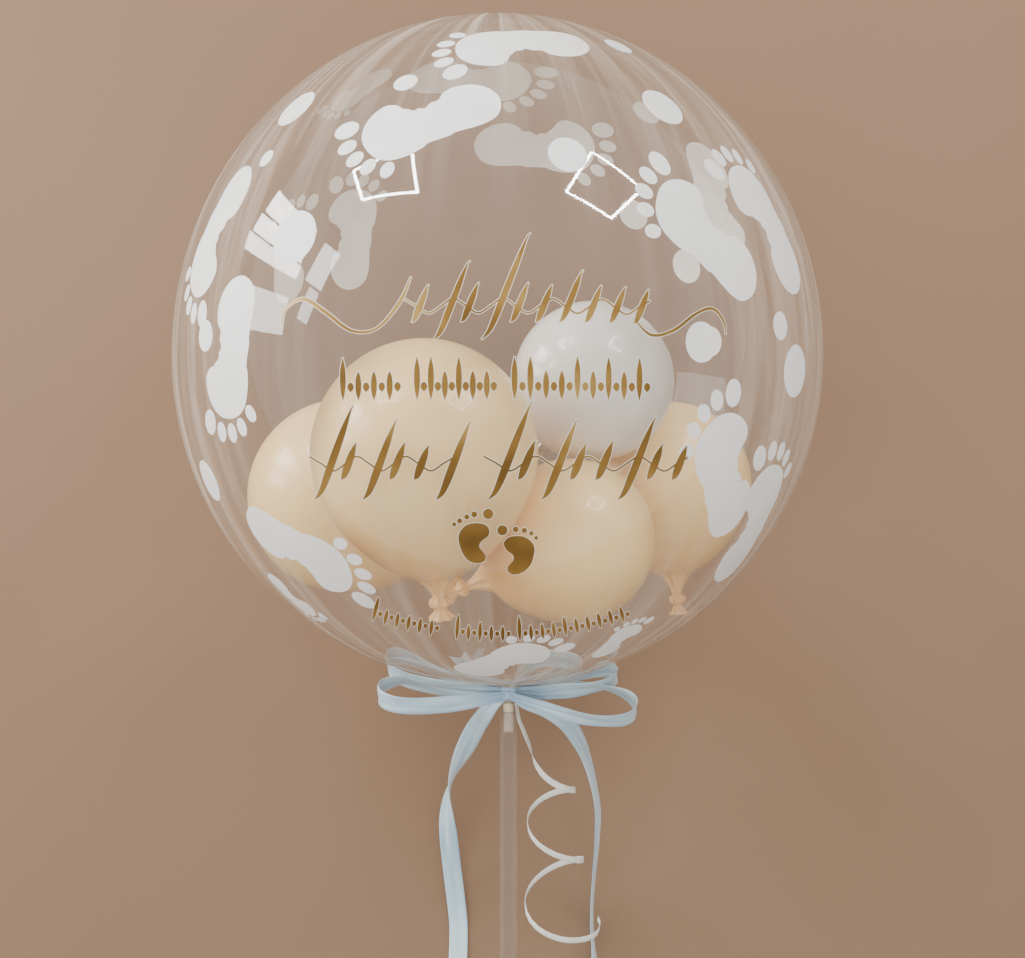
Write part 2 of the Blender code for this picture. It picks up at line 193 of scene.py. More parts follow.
# Gold strokes on the near film, in millimetres from the bubble's middle. None of them is a letter.
FLOURISHES = [
    ([(-151, 12), (-147, 24), (-134, 30), (-118, 20), (-100, 7), (-82, 8), (-66, 26), (-58, 44)],
     [0.6, 1.2, 2.2, 2.6, 2.0, 1.6, 2.4, 0.8]),
    ([(96, 14), (108, 4), (124, 8), (140, 20), (152, 24), (160, 16), (162, 6)],
     [0.8, 1.8, 2.2, 1.8, 2.2, 1.6, 0.6]),
]
# Start, foot, gap between strokes, their heights, thickness, and how far tall ones reach below the foot
SLANTED_ROWS = [
    (-56, 12, 17, [26, 42, 27, 62, 27, 26, 36, 26, 25, 24], 4.6, 12),
    (-124, -96, 17.2, [52, 26, 42, 26, 24, 41], 5.6, 14),
    (-1, -96, 18, [54, 27, 42, 25, 27, 44, 25, 24], 5.6, 14),
]
# Start, gap between strokes, their heights, then the middle, foot and sag of the line that they stand on
UPRIGHT_ROWS = [
    (-106, 11.0, [29, 20, 20, 20], 0, -41, 0),
    (-54, 9.6, [29, 29, 20, 29, 20, 20], 0, -41, 0),
    (13, 10.8, [29, 29, 20, 20, 29, 20, 29, 20, 29], 0, -41, 0),
    (-90, 8.4, [19, 12, 12, 12, 12, 12], 2, -213, 15),
    (-29, 8.4, [19, 12, 15, 12, 12], 2, -213, 15),
    (17, 8.4, [19, 12, 12, 12, 15, 12, 12, 12, 12, 12], 2, -213, 15),
]
SLANTED_STROKE = [(-0.06, 0.0), (0.02, 0.10), (0.12, 0.34), (0.26, 0.70), (0.36, 0.95), (0.40, 1.0)]
# A pair of small gold footprints: each sole's outline and a place well inside it, then the toes with their
# radius
GOLD_SOLES = [
    ((-17.7, -139.3), [
        (-26.2, -137.2), (-25.1, -132.6), (-21.8, -128.5), (-16.6, -126.5), (-10.5, -126.5),
        (-6.3, -128.2), (-4.5, -131.6), (-5.3, -135.2), (-8.4, -137.7), (-11.0, -140.3),
        (-11.5, -143.4), (-9.4, -146.2), (-7.4, -149.1), (-7.4, -152.2), (-9.9, -154.2),
        (-14.1, -154.7), (-18.7, -153.4), (-22.3, -149.6), (-24.9, -143.9),
    ]),
    ((18.4, -148.6), [
        (5.3, -141.3), (6.5, -138.3), (9.6, -136.0), (15.3, -135.3), (20.4, -136.2),
        (24.6, -139.3), (26.9, -143.4), (26.6, -148.6), (24.6, -155.3), (20.4, -160.4),
        (15.3, -162.7), (10.7, -162.7), (8.0, -159.9), (8.6, -156.8), (11.4, -153.7),
        (12.5, -150.6), (10.9, -148.0), (7.6, -145.5),
    ]),
]
GOLD_TOES = [
    (-5.3, -119.9, 3.6), (-15.0, -120.2, 2.1), (-20.2, -122.0, 1.8), (-25.2, -124.8, 1.8),
    (-29.0, -127.2, 1.5), (4.5, -131.3, 3.6), (13.8, -130.7, 2.0), (19.8, -131.5, 1.9),
    (24.7, -133.5, 1.6), (28.1, -136.7, 1.4),
]
GOLD_EDGE = 0.0005

# Mirrored lights: where their corners show on the near film, in millimetres from the bubble's middle,
# with the strength of each window pane
WINDOW_PANES = [
    (85, [(-154, 111), (-126, 78), (-132, 67), (-166, 96)]),
    (80, [(-167, 95), (-133, 66), (-136, 55), (-175, 83)]),
    (65, [(-176, 82), (-137, 54), (-140, 44), (-182, 71)]),
    (38, [(-190, 50), (-146, 31), (-150, 6), (-199, 15)]),
    (42, [(-122, 71), (-108, 60), (-122, 35), (-130, 42)]),
    (32, [(-131, 40), (-123, 33), (-132, 12), (-138, 16)]),
]
BRIGHT_FRAMES = [
    [(-100, 121), (-59, 134), (-54, 103), (-93, 99)],
    [(67, 133), (102, 107), (80, 85), (49, 103)],
]
FRAME_POWER = 400


def maths(operation, swapped=False):
    """An operator of Value that adds a maths node."""

    def apply(self, other):
        pair = (other, self) if swapped else (self, other)
        return self.finish.node("ShaderNodeMath", {"operation": operation}, dict(enumerate(pair)))

    return apply


class Value:
    """A number that comes out of a node, so that shader maths reads as plain Python."""

    __add__ = __radd__ = maths("ADD")
    __sub__ = maths("SUBTRACT")
    __rsub__ = maths("SUBTRACT", swapped=True)
    __mul__ = __rmul__ = maths("MULTIPLY")
    __pow__ = maths("POWER")

    def __init__(self, finish, socket):
        self.finish = finish
        self.socket = socket


class Finish:
    """One material, with short ways to add its nodes."""

    def __init__(self, name, **numbers):
        self.material = bpy.data.materials.new(name)
        self.material.use_nodes = True
        self.tree = self.material.node_tree
        self.shader = self.tree.nodes["Principled BSDF"]
        for socket, number in numbers.items():
            self.shader.inputs[socket.replace("_", " ")].default_value = number

    def node(self, kind, settings=None, values=None, out=0):
        made = self.tree.nodes.new(kind)
        for setting, choice in (settings or {}).items():
            if setting == "stops":
                ramp = made.color_ramp
                while len(ramp.elements) < len(choice):
                    ramp.elements.new(1.0)
                for element, (place, colour) in zip(ramp.elements, choice):
                    element.position = place
                    element.color = (*colour, 1)
            else:
                setattr(made, setting, choice)
        for socket, value in (values or {}).items():
            if isinstance(value, Value):
                self.tree.links.new(value.socket, made.inputs[socket])
            else:
                made.inputs[socket].default_value = value
        return Value(self, made.outputs[out])

    def place(self, kind="Object"):
        return self.node("ShaderNodeTexCoord", out=kind)

    def attribute(self, name):
        return self.node("ShaderNodeAttribute", {"attribute_name": name}, out="Fac")

    def noise(self, place, scale, detail=3.0, roughness=0.5):
        values = {"Vector": place, "Scale": scale, "Detail": detail, "Roughness": roughness}
        return self.node("ShaderNodeTexNoise", None, values, "Fac")

    def streaked(self, place, scale, detail, roughness=0.5):
        """Noise with a scale of its own each way."""
        drawn = self.node("ShaderNodeMapping", None, {"Vector": place, "Scale": scale})
        return self.noise(drawn, 1.0, detail, roughness)

    def mix(self, share, one, other):
        return self.node("ShaderNodeMix", {"data_type": "RGBA"}, {0: share, 6: one, 7: other}, 2)

    def widened(self, value, low, high):
        """The value with low moved to 0 and high to 1."""
        return self.node("ShaderNodeMapRange", None, {"Value": value, "From Min": low, "From Max": high})

    def bump(self, height, distance, strength=1.0):
        values = {"Height": height, "Distance": distance, "Strength": strength}
        return self.node("ShaderNodeBump", None, values, "Normal")

    def feed(self, **links):
        for socket, value in links.items():
            self.tree.links.new(value.socket, self.shader.inputs[socket.replace("_", " ")])

    def facing(self, normal):
        return self.node("ShaderNodeLayerWeight", None, {"Blend": 0.5, "Normal": normal}, "Facing")

    def see_through(self, normal, roughness, shine, haze):
        """Clear and glossy by the share shine, with the plain shader over it by the share haze."""
        gloss = self.node("ShaderNodeBsdfGlossy", None, {"Roughness": roughness, "Normal": normal})
        clear = self.node("ShaderNodeBsdfTransparent")
        glassy = self.node("ShaderNodeMixShader", None, {0: shine, 1: clear, 2: gloss})
        plain = Value(self, self.shader.outputs[0])
        whole = self.node("ShaderNodeMixShader", None, {0: haze, 1: glassy, 2: plain})
        self.tree.links.new(whole.socket, self.tree.nodes["Material Output"].inputs["Surface"])


def colour(red, green, blue):
    """A colour given in the numbers of a paint picker, 0 to 255."""
    return tuple((((c / 255 + 0.055) / 1.055) ** 2.4) for c in (red, green, blue)) + (1,)


# Places in the upright frame


def upright_frame():
    """From the upright frame to the floor: the stick's slope and the tie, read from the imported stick."""
    foot = next(mount for mount in frame["record"]["mounts"] if mount["name"] == "stick_foot")
    axis = Vector(foot["axis"])
    slope = math.asin(-axis.z)
    low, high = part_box("balloon_stick")
    end = Vector(((low[0] + high[0]) / 2, foot["pos_m"][1], foot["pos_m"][2]))
    tie = end - axis * (STICK_LENGTH + TUBE_DROP)
    return Matrix.Translation(tie) @ Matrix.Rotation(slope - math.pi / 2, 4, "X"), tie, slope


UPRIGHT, TIE, SLOPE = upright_frame()


def side_shift(radius, height):
    """How far the film stands to the left of the stick's axis: less and less towards the neck."""
    if height > BUBBLE_MIDDLE:
        return BUBBLE_SHIFT
    return BUBBLE_SHIFT * min(1.0, max(0.0, radius - GATHER_RADIUS) / PLEAT_REACH)


def film_underside(x, y):
    off_axis = math.hypot(x + side_shift(math.hypot(x, y), 0), y) / BUBBLE_RADIUS
    return BUBBLE_MIDDLE - BUBBLE_DROP * math.sqrt(max(0.0, 1 - off_axis**2))


def flat_plane():
    """Middle of the flat spot and the way it faces, in the upright frame."""
    out = Vector((0, math.cos(SLOPE), -math.sin(SLOPE)))
    support = math.hypot(BUBBLE_RADIUS * out.y, BUBBLE_DROP * out.z)
    touch = Vector((0, BUBBLE_RADIUS**2 * out.y, BUBBLE_DROP**2 * out.z)) / support
    return touch * (support - FLAT_DEPTH) / support + BUBBLE_CENTRE, out


def kept_off_flat(point):
    middle, out = flat_plane()
    return point - out * max(0.0, (point - middle).dot(out))


def on_film(unit, lift=0.0):
    """The place on the film for a direction from the bubble's middle."""
    rise = BUBBLE_RISE if unit.z > 0 else BUBBLE_DROP
    point = Vector((unit.x * BUBBLE_RADIUS, unit.y * BUBBLE_RADIUS, unit.z * rise))
    point += unit * lift
    point.z += BUBBLE_MIDDLE
    point.x -= side_shift(math.hypot(point.x, point.y), point.z)
    return point


def film_direction(side, height, back=False):
    """The direction from the bubble's middle to a print, from its side and height in millimetres."""
    x = side / 1000 / BUBBLE_RADIUS
    z = height / 1000 / (BUBBLE_RISE if height > 0 else BUBBLE_DROP)
    y = math.sqrt(max(0.0, 1 - x * x - z * z))
    return Vector((x, y if back else -y, z)).normalized()


# Making pieces


def mesh_of(name, bm):
    mesh = bpy.data.meshes.new(name)
    bm.to_mesh(mesh)
    bm.free()
    return mesh


def added(name, data):
    made = bpy.data.objects.new(name, data)
    bpy.context.scene.collection.objects.link(made)
    return made


def piece(name, bm, finish, upright=True, sharp=None):
    """A finished piece in its place on the floor, riding on the body."""
    bmesh.ops.recalc_face_normals(bm, faces=bm.faces)
    mesh = mesh_of(name, bm)
    if upright:
        mesh.transform(UPRIGHT)
    mesh.shade_smooth()
    if sharp:
        mesh.set_sharp_from_angle(angle=math.radians(sharp))
    made = added(name, mesh)
    mesh.materials.append(finish.material)
    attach(made, "root")
    return made


def patch(steps, rows, place, measure=(1.0, 1.0)):
    """A grid whose corners go to place(u, v), with u along it and v across; measure is its real size."""
    bm = bmesh.new()
    coords = bm.loops.layers.uv.new("UVMap")
    bmesh.ops.create_grid(bm, x_segments=steps, y_segments=rows, size=0.5)
    shares = {vert: (vert.co.x + 0.5, vert.co.y + 0.5) for vert in bm.verts}
    for face in bm.faces:
        for loop in face.loops:
            u, v = shares[loop.vert]
            loop[coords].uv = (u * measure[0], v * measure[1])
    for vert, (u, v) in shares.items():
        vert.co = place(u, v)
    return bm


def thickened(bm, thickness):
    bmesh.ops.recalc_face_normals(bm, faces=bm.faces)
    bmesh.ops.solidify(bm, geom=bm.faces[:], thickness=thickness)
    return bm


def joined(parts):
    """Several bmeshes as one."""
    whole = bmesh.new()
    for part in parts:
        mesh = mesh_of("part", part)
        whole.from_mesh(mesh)
        bpy.data.meshes.remove(mesh)
    return whole


def turned(profile, steps, closed=False):
    """A bmesh turned round Z from (radius, height) pairs."""
    bm = bmesh.new()
    verts = [bm.verts.new((radius, 0, height)) for radius, height in profile]
    edges = [bm.edges.new(pair) for pair in zip(verts, verts[1:])]
    if closed:
        edges.append(bm.edges.new((verts[-1], verts[0])))
    bmesh.ops.spin(
        bm, geom=verts + edges, cent=(0, 0, 0), axis=(0, 0, 1), angle=2 * math.pi, steps=steps, use_merge=True
    )
    bmesh.ops.remove_doubles(bm, verts=bm.verts, dist=1e-6)
    return bm


def bent(a, b, c, d, t):
    """The value a share t of the way from b to c on a smooth curve through all four."""
    bend = (2 * a - 5 * b + 4 * c - d) * t**2 + (3 * b - a - 3 * c + d) * t**3
    return 0.5 * (2 * b + (c - a) * t + bend)


def smooth_route(points, step, parts=20):
    """Points about one step apart on a smooth curve through the given ones, of any dimension."""
    dense = []
    ends = [2 * points[0] - points[1], *points, 2 * points[-1] - points[-2]]
    for a, b, c, d in zip(ends, ends[1:], ends[2:], ends[3:]):
        dense += [bent(a, b, c, d, part / parts) for part in range(parts)]
    dense.append(points[-1])
    chosen = [dense[0]]
    travelled = 0.0
    for before, after in zip(dense, dense[1:]):
        travelled += (Vector(after[:3]) - Vector(before[:3])).length
        if travelled >= step:
            chosen.append(after)
            travelled = 0.0
    return chosen


def read_along(points, share):
    """The value at a share of the way through evenly spaced points."""
    place = share * (len(points) - 1)
    first = min(int(place), len(points) - 2)
    return points[first].lerp(points[first + 1], place - first)


def smoothstep(low, high, value):
    share = min(1.0, max(0.0, (value - low) / (high - low)))
    return share * share * (3 - 2 * share)


# Camera


def add_camera():
    data = bpy.data.cameras.new("camera")
    data.sensor_width = SENSOR
    data.lens = SENSOR * CAMERA_DISTANCE / VIEW_WIDTH
    camera = added("camera", data)
    back = Vector((0, -CAMERA_DISTANCE, 0))
    camera.matrix_world = UPRIGHT @ Matrix.Translation(AIM + back) @ Matrix.Rotation(math.pi / 2, 4, "X")
    bpy.context.scene.camera = camera


# Finishes


def satin_finish():
    """Pale blue satin: fine threads across a soft sheen, with painted highlights and painted shade in streaks
    along its length, and painted shade next to and on the knot.
    """
    finish = Finish("pale blue satin", Sheen_Weight=0.35, Sheen_Roughness=0.4, Specular_IOR_Level=0.6)
    woven = finish.place("UV")
    threads = finish.streaked(woven, (260, 5200, 1), 2.0)
    clouds = finish.noise(finish.place(), 60.0, 2.0)
    tone = finish.mix(clouds, colour(150, 186, 204), colour(190, 212, 220))
    # Painted highlight and painted shade: streaks along the ribbon, paler where the noise is high and deeper
    # blue where it is low
    drawn = finish.streaked(woven, (11, 230, 1), 3.0)
    tone = finish.mix(finish.widened(drawn, 0.50, 0.68) * 0.7, tone, colour(226, 238, 242))
    tone = finish.mix(finish.widened(drawn, 0.50, 0.36) * 0.6, tone, colour(128, 170, 198))
    # Painted shade: deeper blue where the satin runs into the knot and over the knot itself
    tone = finish.mix(finish.attribute("drawn_in") * 0.75, tone, colour(104, 150, 184))
    finish.feed(
        Base_Color=finish.mix(threads * 0.35, tone, colour(212, 230, 238)),
        Roughness=0.26 + threads * 0.2,
        Normal=finish.bump(threads, 0.00004, 0.5),
    )
    return finish


def curling_finish():
    """Cream-white curling ribbon with fine ribs along it."""
    finish = Finish("cream curling ribbon", Roughness=0.28, Specular_IOR_Level=0.55, Coat_Weight=0.15)
    along = finish.place("UV")
    ribs = finish.streaked(along, (6, 3400, 1), 1.0)
    clouds = finish.noise(finish.place(), 45.0)
    tone = finish.mix(clouds, colour(214, 214, 204), colour(240, 240, 230))
    finish.feed(Base_Color=tone, Roughness=0.22 + ribs * 0.2, Normal=finish.bump(ribs, 0.00003, 0.6))
    return finish


def film_finish():
    """Clear stretched film: see-through, glossier towards its rims and faintly hazy at the neck."""
    finish = Finish("clear film", Base_Color=colour(244, 228, 210), Roughness=0.25)
    place = finish.place()
    waves = finish.noise(place, 9.0, 2.0)
    folds = finish.streaked(place, (60, 60, 8), 4.0)
    normal = finish.bump(waves, 0.002, 0.12)
    facing = finish.facing(normal)
    shine = (0.09 + 0.75 * facing**4.0) * (1.0 - finish.attribute("far_side") * 0.8)
    streaks = finish.streaked(finish.place("UV"), (52, 2.2, 1), 5.0, 0.65)
    drawn = finish.widened(streaks, 0.47, 0.70)
    haze = 0.012 + facing**1.6 * (0.10 + drawn * 0.80) + finish.attribute("gathered") * (0.06 + folds * 0.32)
    finish.see_through(normal, 0.03, shine, haze)
    return finish


def tube_finish():
    """Clear extruded tube: see-through, pale where its walls are seen along, with long faint scuffs."""
    finish = Finish("clear plastic tube", Base_Color=colour(170, 162, 150), Roughness=0.2)
    scuffs = finish.streaked(finish.place(), (400, 6, 400), 3.0)
    normal = finish.bump(scuffs, 0.00005, 0.3)
    facing = finish.facing(normal)
    haze = 0.002 + scuffs * 0.008 + facing**2.6 * 0.55
    finish.see_through(normal, 0.05, 0.02 + 0.6 * facing**3.0, haze)
    return finish


def elastic_finish():
    finish = Finish("pale elastic", Roughness=0.42, Specular_IOR_Level=0.45)
    grain = finish.noise(finish.place(), 900.0)
    finish.feed(
        Base_Color=finish.mix(grain, colour(214, 198, 158), colour(234, 224, 192)),
        Normal=finish.bump(grain, 0.00004, 0.5),
    )
    return finish


def latex_finish(name, light, deep, gloss):
    """Latex blown thin: paler at the crown, deeper where it gathers to the neck."""
    finish = Finish(name, Roughness=gloss, Specular_IOR_Level=0.5, Coat_Weight=0.25, Coat_Roughness=0.08)
    place = finish.place()
    clouds = finish.noise(place, 14.0, 3.0)
    grain = finish.noise(place, 520.0, 2.0)
    depth = finish.attribute("neck_share")
    tone = finish.mix(depth, light, deep)
    finish.feed(
        Base_Color=finish.mix(clouds * 0.22, tone, deep),
        Roughness=gloss - 0.05 + clouds * 0.12,
        Normal=finish.bump(grain, 0.00002, 0.4),
    )
    return finish


def print_finish(name, tone, pale, alpha):
    """Opaque printed white, thinner in places, so that a little shows through."""
    finish = Finish(name, Roughness=0.5, Specular_IOR_Level=0.4)
    place = finish.place()
    clouds = finish.noise(place, 35.0, 3.0)
    speckle = finish.noise(place, 700.0, 2.0)
    finish.feed(
        Base_Color=finish.mix(clouds, tone, pale),
        Alpha=alpha - 0.06 + clouds * 0.12,
        Normal=finish.bump(speckle, 0.00003, 0.4),
    )
    return finish


def gold_finish():
    """Satin gold print, shading from bronze to lighter gold."""
    finish = Finish("gold print", Roughness=0.38, Specular_IOR_Level=0.6)
    place = finish.place()
    clouds = finish.noise(place, 24.0, 2.0)
    speckle = finish.noise(place, 1400.0, 2.0)
    tones = ((0.30, colour(118, 86, 32)), (0.52, colour(150, 114, 50)), (0.72, colour(188, 152, 84)))
    stops = [(place, tone[:3]) for place, tone in tones]
    finish.feed(
        Base_Color=finish.node("ShaderNodeValToRGB", {"stops": stops}, {0: clouds}),
        Metallic=0.45 + speckle * 0.2,
        Roughness=0.30 + speckle * 0.2,
        Normal=finish.bump(speckle, 0.00002, 0.5),
    )
    return finish


def floor_finish():
    finish = Finish("pale warm floor", Roughness=0.85, Specular_IOR_Level=0.2)
    clouds = finish.noise(finish.place(), 1.4, 2.0)
    grain = finish.noise(finish.place(), 320.0, 2.0)
    finish.feed(
        Base_Color=finish.mix(clouds, colour(121, 95, 75), colour(132, 107, 85)),
        Normal=finish.bump(grain, 0.0002, 0.15),
    )
    return finish


# Cords


def laid_route(route, lowest):
    """World points of a route, kept above the floor by what the ribbon's turn needs."""
    return [
        Vector((TIE.x + side, TIE.y - run, max(share * TIE.z, lowest(turn)), width, turn))
        for side, run, share, width, turn in route
    ]


def cut_to_length(points, length):
    kept = [points[0]]
    left = length
    for before, after in zip(points, points[1:]):
        piece_length = (Vector(after[:3]) - Vector(before[:3])).length
        if piece_length > left:
            kept.append(before.lerp(after, left / piece_length))
            break
        kept.append(after)
        left -= piece_length
    return kept


def direction_at(points, share, span=0.01):
    ahead = Vector(read_along(points, min(1.0, share + span))[:3])
    behind = Vector(read_along(points, max(0.0, share - span))[:3])
    return (ahead - behind).normalized()


def declare_ribbon(node, path):
    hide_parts(node)


def ribbon_tail(name, route, finish):
    """A long satin end, flat across, with a slight curl of its edges, cut to its length."""

    def lowest(turn):
        return RIBBON_WIDTH / 2 * abs(math.cos(math.radians(turn))) + 0.0010

    points = cut_to_length(smooth_route(laid_route(route, lowest), 0.0025), TAIL_LENGTH)

    def place(u, v):
        middle = read_along(points, u)
        along = direction_at(points, u)
        side = along.cross(Vector((0, 0, 1))).normalized()
        turn = math.radians(middle[4])
        across = side.cross(along) * math.cos(turn) + side * math.sin(turn)
        through = along.cross(across)
        off = (v - 0.5) * 2
        cup = 0.0004 * (off * off - 0.5)
        return Vector(middle[:3]) + across * off * RIBBON_WIDTH / 2 * middle[3] + through * cup

    bm = thickened(patch(200, 8, place, (TAIL_LENGTH, RIBBON_WIDTH)), SATIN_THICKNESS)
    made = piece(f"satin_{name}", bm, finish, upright=False)
    declare_ribbon(name, [Vector(point[:3]) for point in points])


def curl_path():
    """World points of the curling ribbon's own line, with the way out of its coil at each."""
    route = [(side, run, share, radius, 0) for side, run, share, radius in CURL_ROUTE]
    middle_line = smooth_route(laid_route(route, lambda turn: 0.0235), 0.002)
    away = UPRIGHT.to_3x3() @ Vector((0, math.cos(CURL_LEAN), -math.sin(CURL_LEAN)))
    path = []
    travelled = 0.0
    last = Vector(middle_line[0][:3])
    for point in middle_line:
        centre = Vector(point[:3])
        travelled += (centre - last).length
        last = centre
        past = travelled - CURL_STRAIGHT
        coiled = CURL_STRAIGHT + (past + math.hypot(past, 0.012)) / 2
        angle = CURL_START_ANGLE + 2 * math.pi * coiled / CURL_PITCH
        outwards = Vector((1, 0, 0)) * math.cos(angle) + away * math.sin(angle)
        path.append((centre + outwards * CURL_RADIUS * point[3], outwards))
    return path


def curling_ribbon(finish):
    stations = curl_path()
    path = [point for point, _ in stations]
    length = sum((after - before).length for before, after in zip(path, path[1:]))
    outwards = [away for _, away in stations]

    def place(u, v):
        middle = read_along(path, u)
        along = direction_at(path, u, 0.004)
        across = along.cross(read_along(outwards, u)).normalized()
        off = (v - 0.5) * 2
        return middle + across * off * CURL_WIDTH / 2

    bm = thickened(patch(420, 4, place, (length, CURL_WIDTH)), CURL_THICKNESS)
    made = piece("curling_ribbon_strip", bm, finish, upright=False)
    declare_ribbon("curling_ribbon", path)
    return length


# Film and its neck


def film_profile(rings=96):
    profile = [(0.0, BUBBLE_MIDDLE + BUBBLE_RISE)]
    last = math.acos(GATHER_RADIUS / BUBBLE_RADIUS)
    for ring in range(1, rings + 1):
        angle = math.pi / 2 - (math.pi / 2 + last) * ring / rings
        rise = BUBBLE_RISE if angle > 0 else BUBBLE_DROP
        profile.append((BUBBLE_RADIUS * math.cos(angle), BUBBLE_MIDDLE + rise * math.sin(angle)))
    band_bottom = BAND_TOP - BAND_HEIGHT
    neck = [
        (NECK_RADIUS + 0.0047, 0.0031),
        (NECK_RADIUS + 0.0017, 0.0027),
        (NECK_RADIUS + 0.0003, 0.0014),
        (NECK_RADIUS, -WRAP_TOP),
        (NECK_RADIUS, -WRAP_HEIGHT + WRAP_TOP),
        (BANDED_RADIUS, BAND_TOP + GAP),
        (BANDED_RADIUS, band_bottom - GAP),
        (FILM_END_RADIUS, band_bottom - 0.0016),
        (FILM_END_RADIUS, -FILM_END_LENGTH),
    ]
    for above, below in zip(neck, neck[1:]):
        above, below = Vector(above), Vector(below)
        steps = max(1, round((below - above).length / 0.0015))
        profile += [tuple(above.lerp(below, step / steps)) for step in range(steps)]
    profile += [neck[-1], (0.0, -FILM_END_LENGTH)]
    return profile


def pleat(angle, radius, height):
    """How far a pleat lifts the film near the neck: broad folds with finer ones on them."""
    share = max(0.0, 1 - radius / PLEAT_REACH)
    wander = 0.6 * noise.noise(Vector((radius * 25, math.cos(angle), math.sin(angle))))
    folds = 0.65 * math.cos(16 * angle + wander) + 0.35 * math.cos(37 * angle + 2 * wander)
    return PLEAT_LIFT * share**2 * folds


def clear_bubble(finish):
    bm = turned(film_profile(), 192)
    coords = bm.loops.layers.uv.new("UVMap")
    for face in bm.faces:
        middle = face.calc_center_median()
        whole = math.atan2(middle.y, middle.x)
        for loop in face.loops:
            x, y, z = loop.vert.co
            part = math.atan2(y, x) - whole if math.hypot(x, y) > 1e-6 else 0.0
            part = (part + math.pi) % (2 * math.pi) - math.pi
            loop[coords].uv = ((whole + part) / (2 * math.pi), z)
    gathered = bm.verts.layers.float.new("gathered")
    far_side = bm.verts.layers.float.new("far_side")
    for vert in bm.verts:
        x, y, z = vert.co
        radius = math.hypot(x, y)
        angle = math.atan2(y, x)
        if z < BUBBLE_MIDDLE and radius > GATHER_RADIUS - GAP:
            vert.co.z += pleat(angle, radius, z)
        if z < 0 and radius > BANDED_RADIUS + GAP:
            fold = 1 - 0.10 * (0.5 + 0.5 * math.cos(9 * angle + 40 * z))
            vert.co.x *= fold
            vert.co.y *= fold
        if z < BUBBLE_MIDDLE:
            vert[gathered] = max(0.0, 1 - radius / PLEAT_REACH) ** 2
        vert[far_side] = smoothstep(0.0, 0.06, y)
        vert.co.x -= side_shift(radius, z)
        vert.co = kept_off_flat(vert.co)
    made = piece("bubble_film", bm, finish)
    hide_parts("clear_bubble")


def band(finish):
    """Three turns of flat elastic wound tight round the film's neck, inside the top of the tube."""
    inner = BANDED_RADIUS + GAP
    bottom = BAND_TOP - BAND_HEIGHT
    profile = [(inner, bottom)]
    for turn in range(3):
        for step in range(7):
            angle = math.pi * (step / 6 - 0.5)
            height = bottom + BAND_HEIGHT / 3 * (turn + 0.5 + 0.48 * math.sin(angle))
            profile.append((inner + 0.0004 + 0.0006 * math.cos(angle), height))
    profile.append((inner, BAND_TOP))
    made = piece("neck_elastic", turned(profile, 48, closed=True), finish)
    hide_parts("neck_band")


def stick(finish):
    """The clear tube, with its cut rims slightly rounded."""
    top = -TUBE_DROP
    bottom = top - STICK_LENGTH
    round_off = 0.00025
    rim = [
        (STICK_BORE_RADIUS, round_off),
        (STICK_BORE_RADIUS + round_off, 0),
        (STICK_RADIUS - round_off, 0),
        (STICK_RADIUS, round_off),
    ]
    profile = [(radius, bottom + off) for radius, off in rim]
    profile += [(radius, top - off) for radius, off in reversed(rim)]
    made = piece("stick_tube", turned(profile, 96, closed=True), finish, sharp=30)
    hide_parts("balloon_stick")


# Bow


def wrap_place(degrees, out=0.0):
    radius = NECK_RADIUS + GAP + WRAP_WALL / 2 + out
    angle = math.radians(degrees)
    return Vector((radius * math.cos(angle), radius * math.sin(angle), WRAP_TOP - WRAP_HEIGHT / 2))


def kept_under_film(middle, across, half):
    edge = middle + across * half
    roof = film_underside(edge.x, edge.y) - PLEAT_LIFT - FOLD_ROOM - GAP
    return middle - Vector((0, 0, max(0.0, edge.z - roof)))


def loop_patch(root, end, half_spread, lean, folds):
    """A drop-shaped loop of satin from the knot to its far bend and back, gathered in folds at its root."""
    start = wrap_place(root, KNOT_SIZE[1] / 2 if root == -90 else 0.0)
    reach = Vector(end) - start
    spread = Vector(half_spread)
    across = reach.cross(spread).normalized()
    if across.z < 0:
        across = -across

    def middle_at(share):
        out = math.sin(math.pi * share)
        sideways = math.sin(2 * math.pi * share) + ROOT_SPREAD * math.cos(math.pi * share)
        half = RIBBON_WIDTH / 2 * (PINCH + (1 - PINCH) * min(1.0, out / FULL_WIDTH_AT))
        return kept_under_film(start + reach * out + spread * sideways, across, half), half, out

    def place(u, v):
        middle, half, out = middle_at(u)
        along = (middle_at(min(1.0, u + 0.01))[0] - middle_at(max(0.0, u - 0.01))[0]).normalized()
        flat = (across - along * across.dot(along)).normalized()
        strand = lean[0] if u < 0.5 else lean[1]
        tip = math.radians(strand) * math.sin(2 * math.pi * (u % 0.5)) ** 2
        through = along.cross(flat)
        if through.y > 0:
            tip = -tip
        flat = flat * math.cos(tip) + through * math.sin(tip)
        through = along.cross(flat)
        off = (v - 0.5) * 2
        gather = (1 - smoothstep(0.05, 0.75, out)) * 0.0011
        fold = gather * math.cos(folds * math.pi * off + 1.3 * folds)
        crease = 0.0005 * math.sin(9 * out + 3 * off) * smoothstep(0.1, 0.5, out)
        cup = 0.0007 * (off * off - 0.4) * out
        return middle + flat * off * half + through * (fold + crease + cup)

    length = 2 * reach.length
    bm = patch(96, 12, place, (length, RIBBON_WIDTH))
    # Share of painted shade on the loop, strongest next to the knot
    drawn_in = bm.verts.layers.float.new("drawn_in")
    for vert in bm.verts:
        vert[drawn_in] = 1 - smoothstep(0.006, 0.045, (vert.co - start).length)
    return thickened(bm, SATIN_THICKNESS)


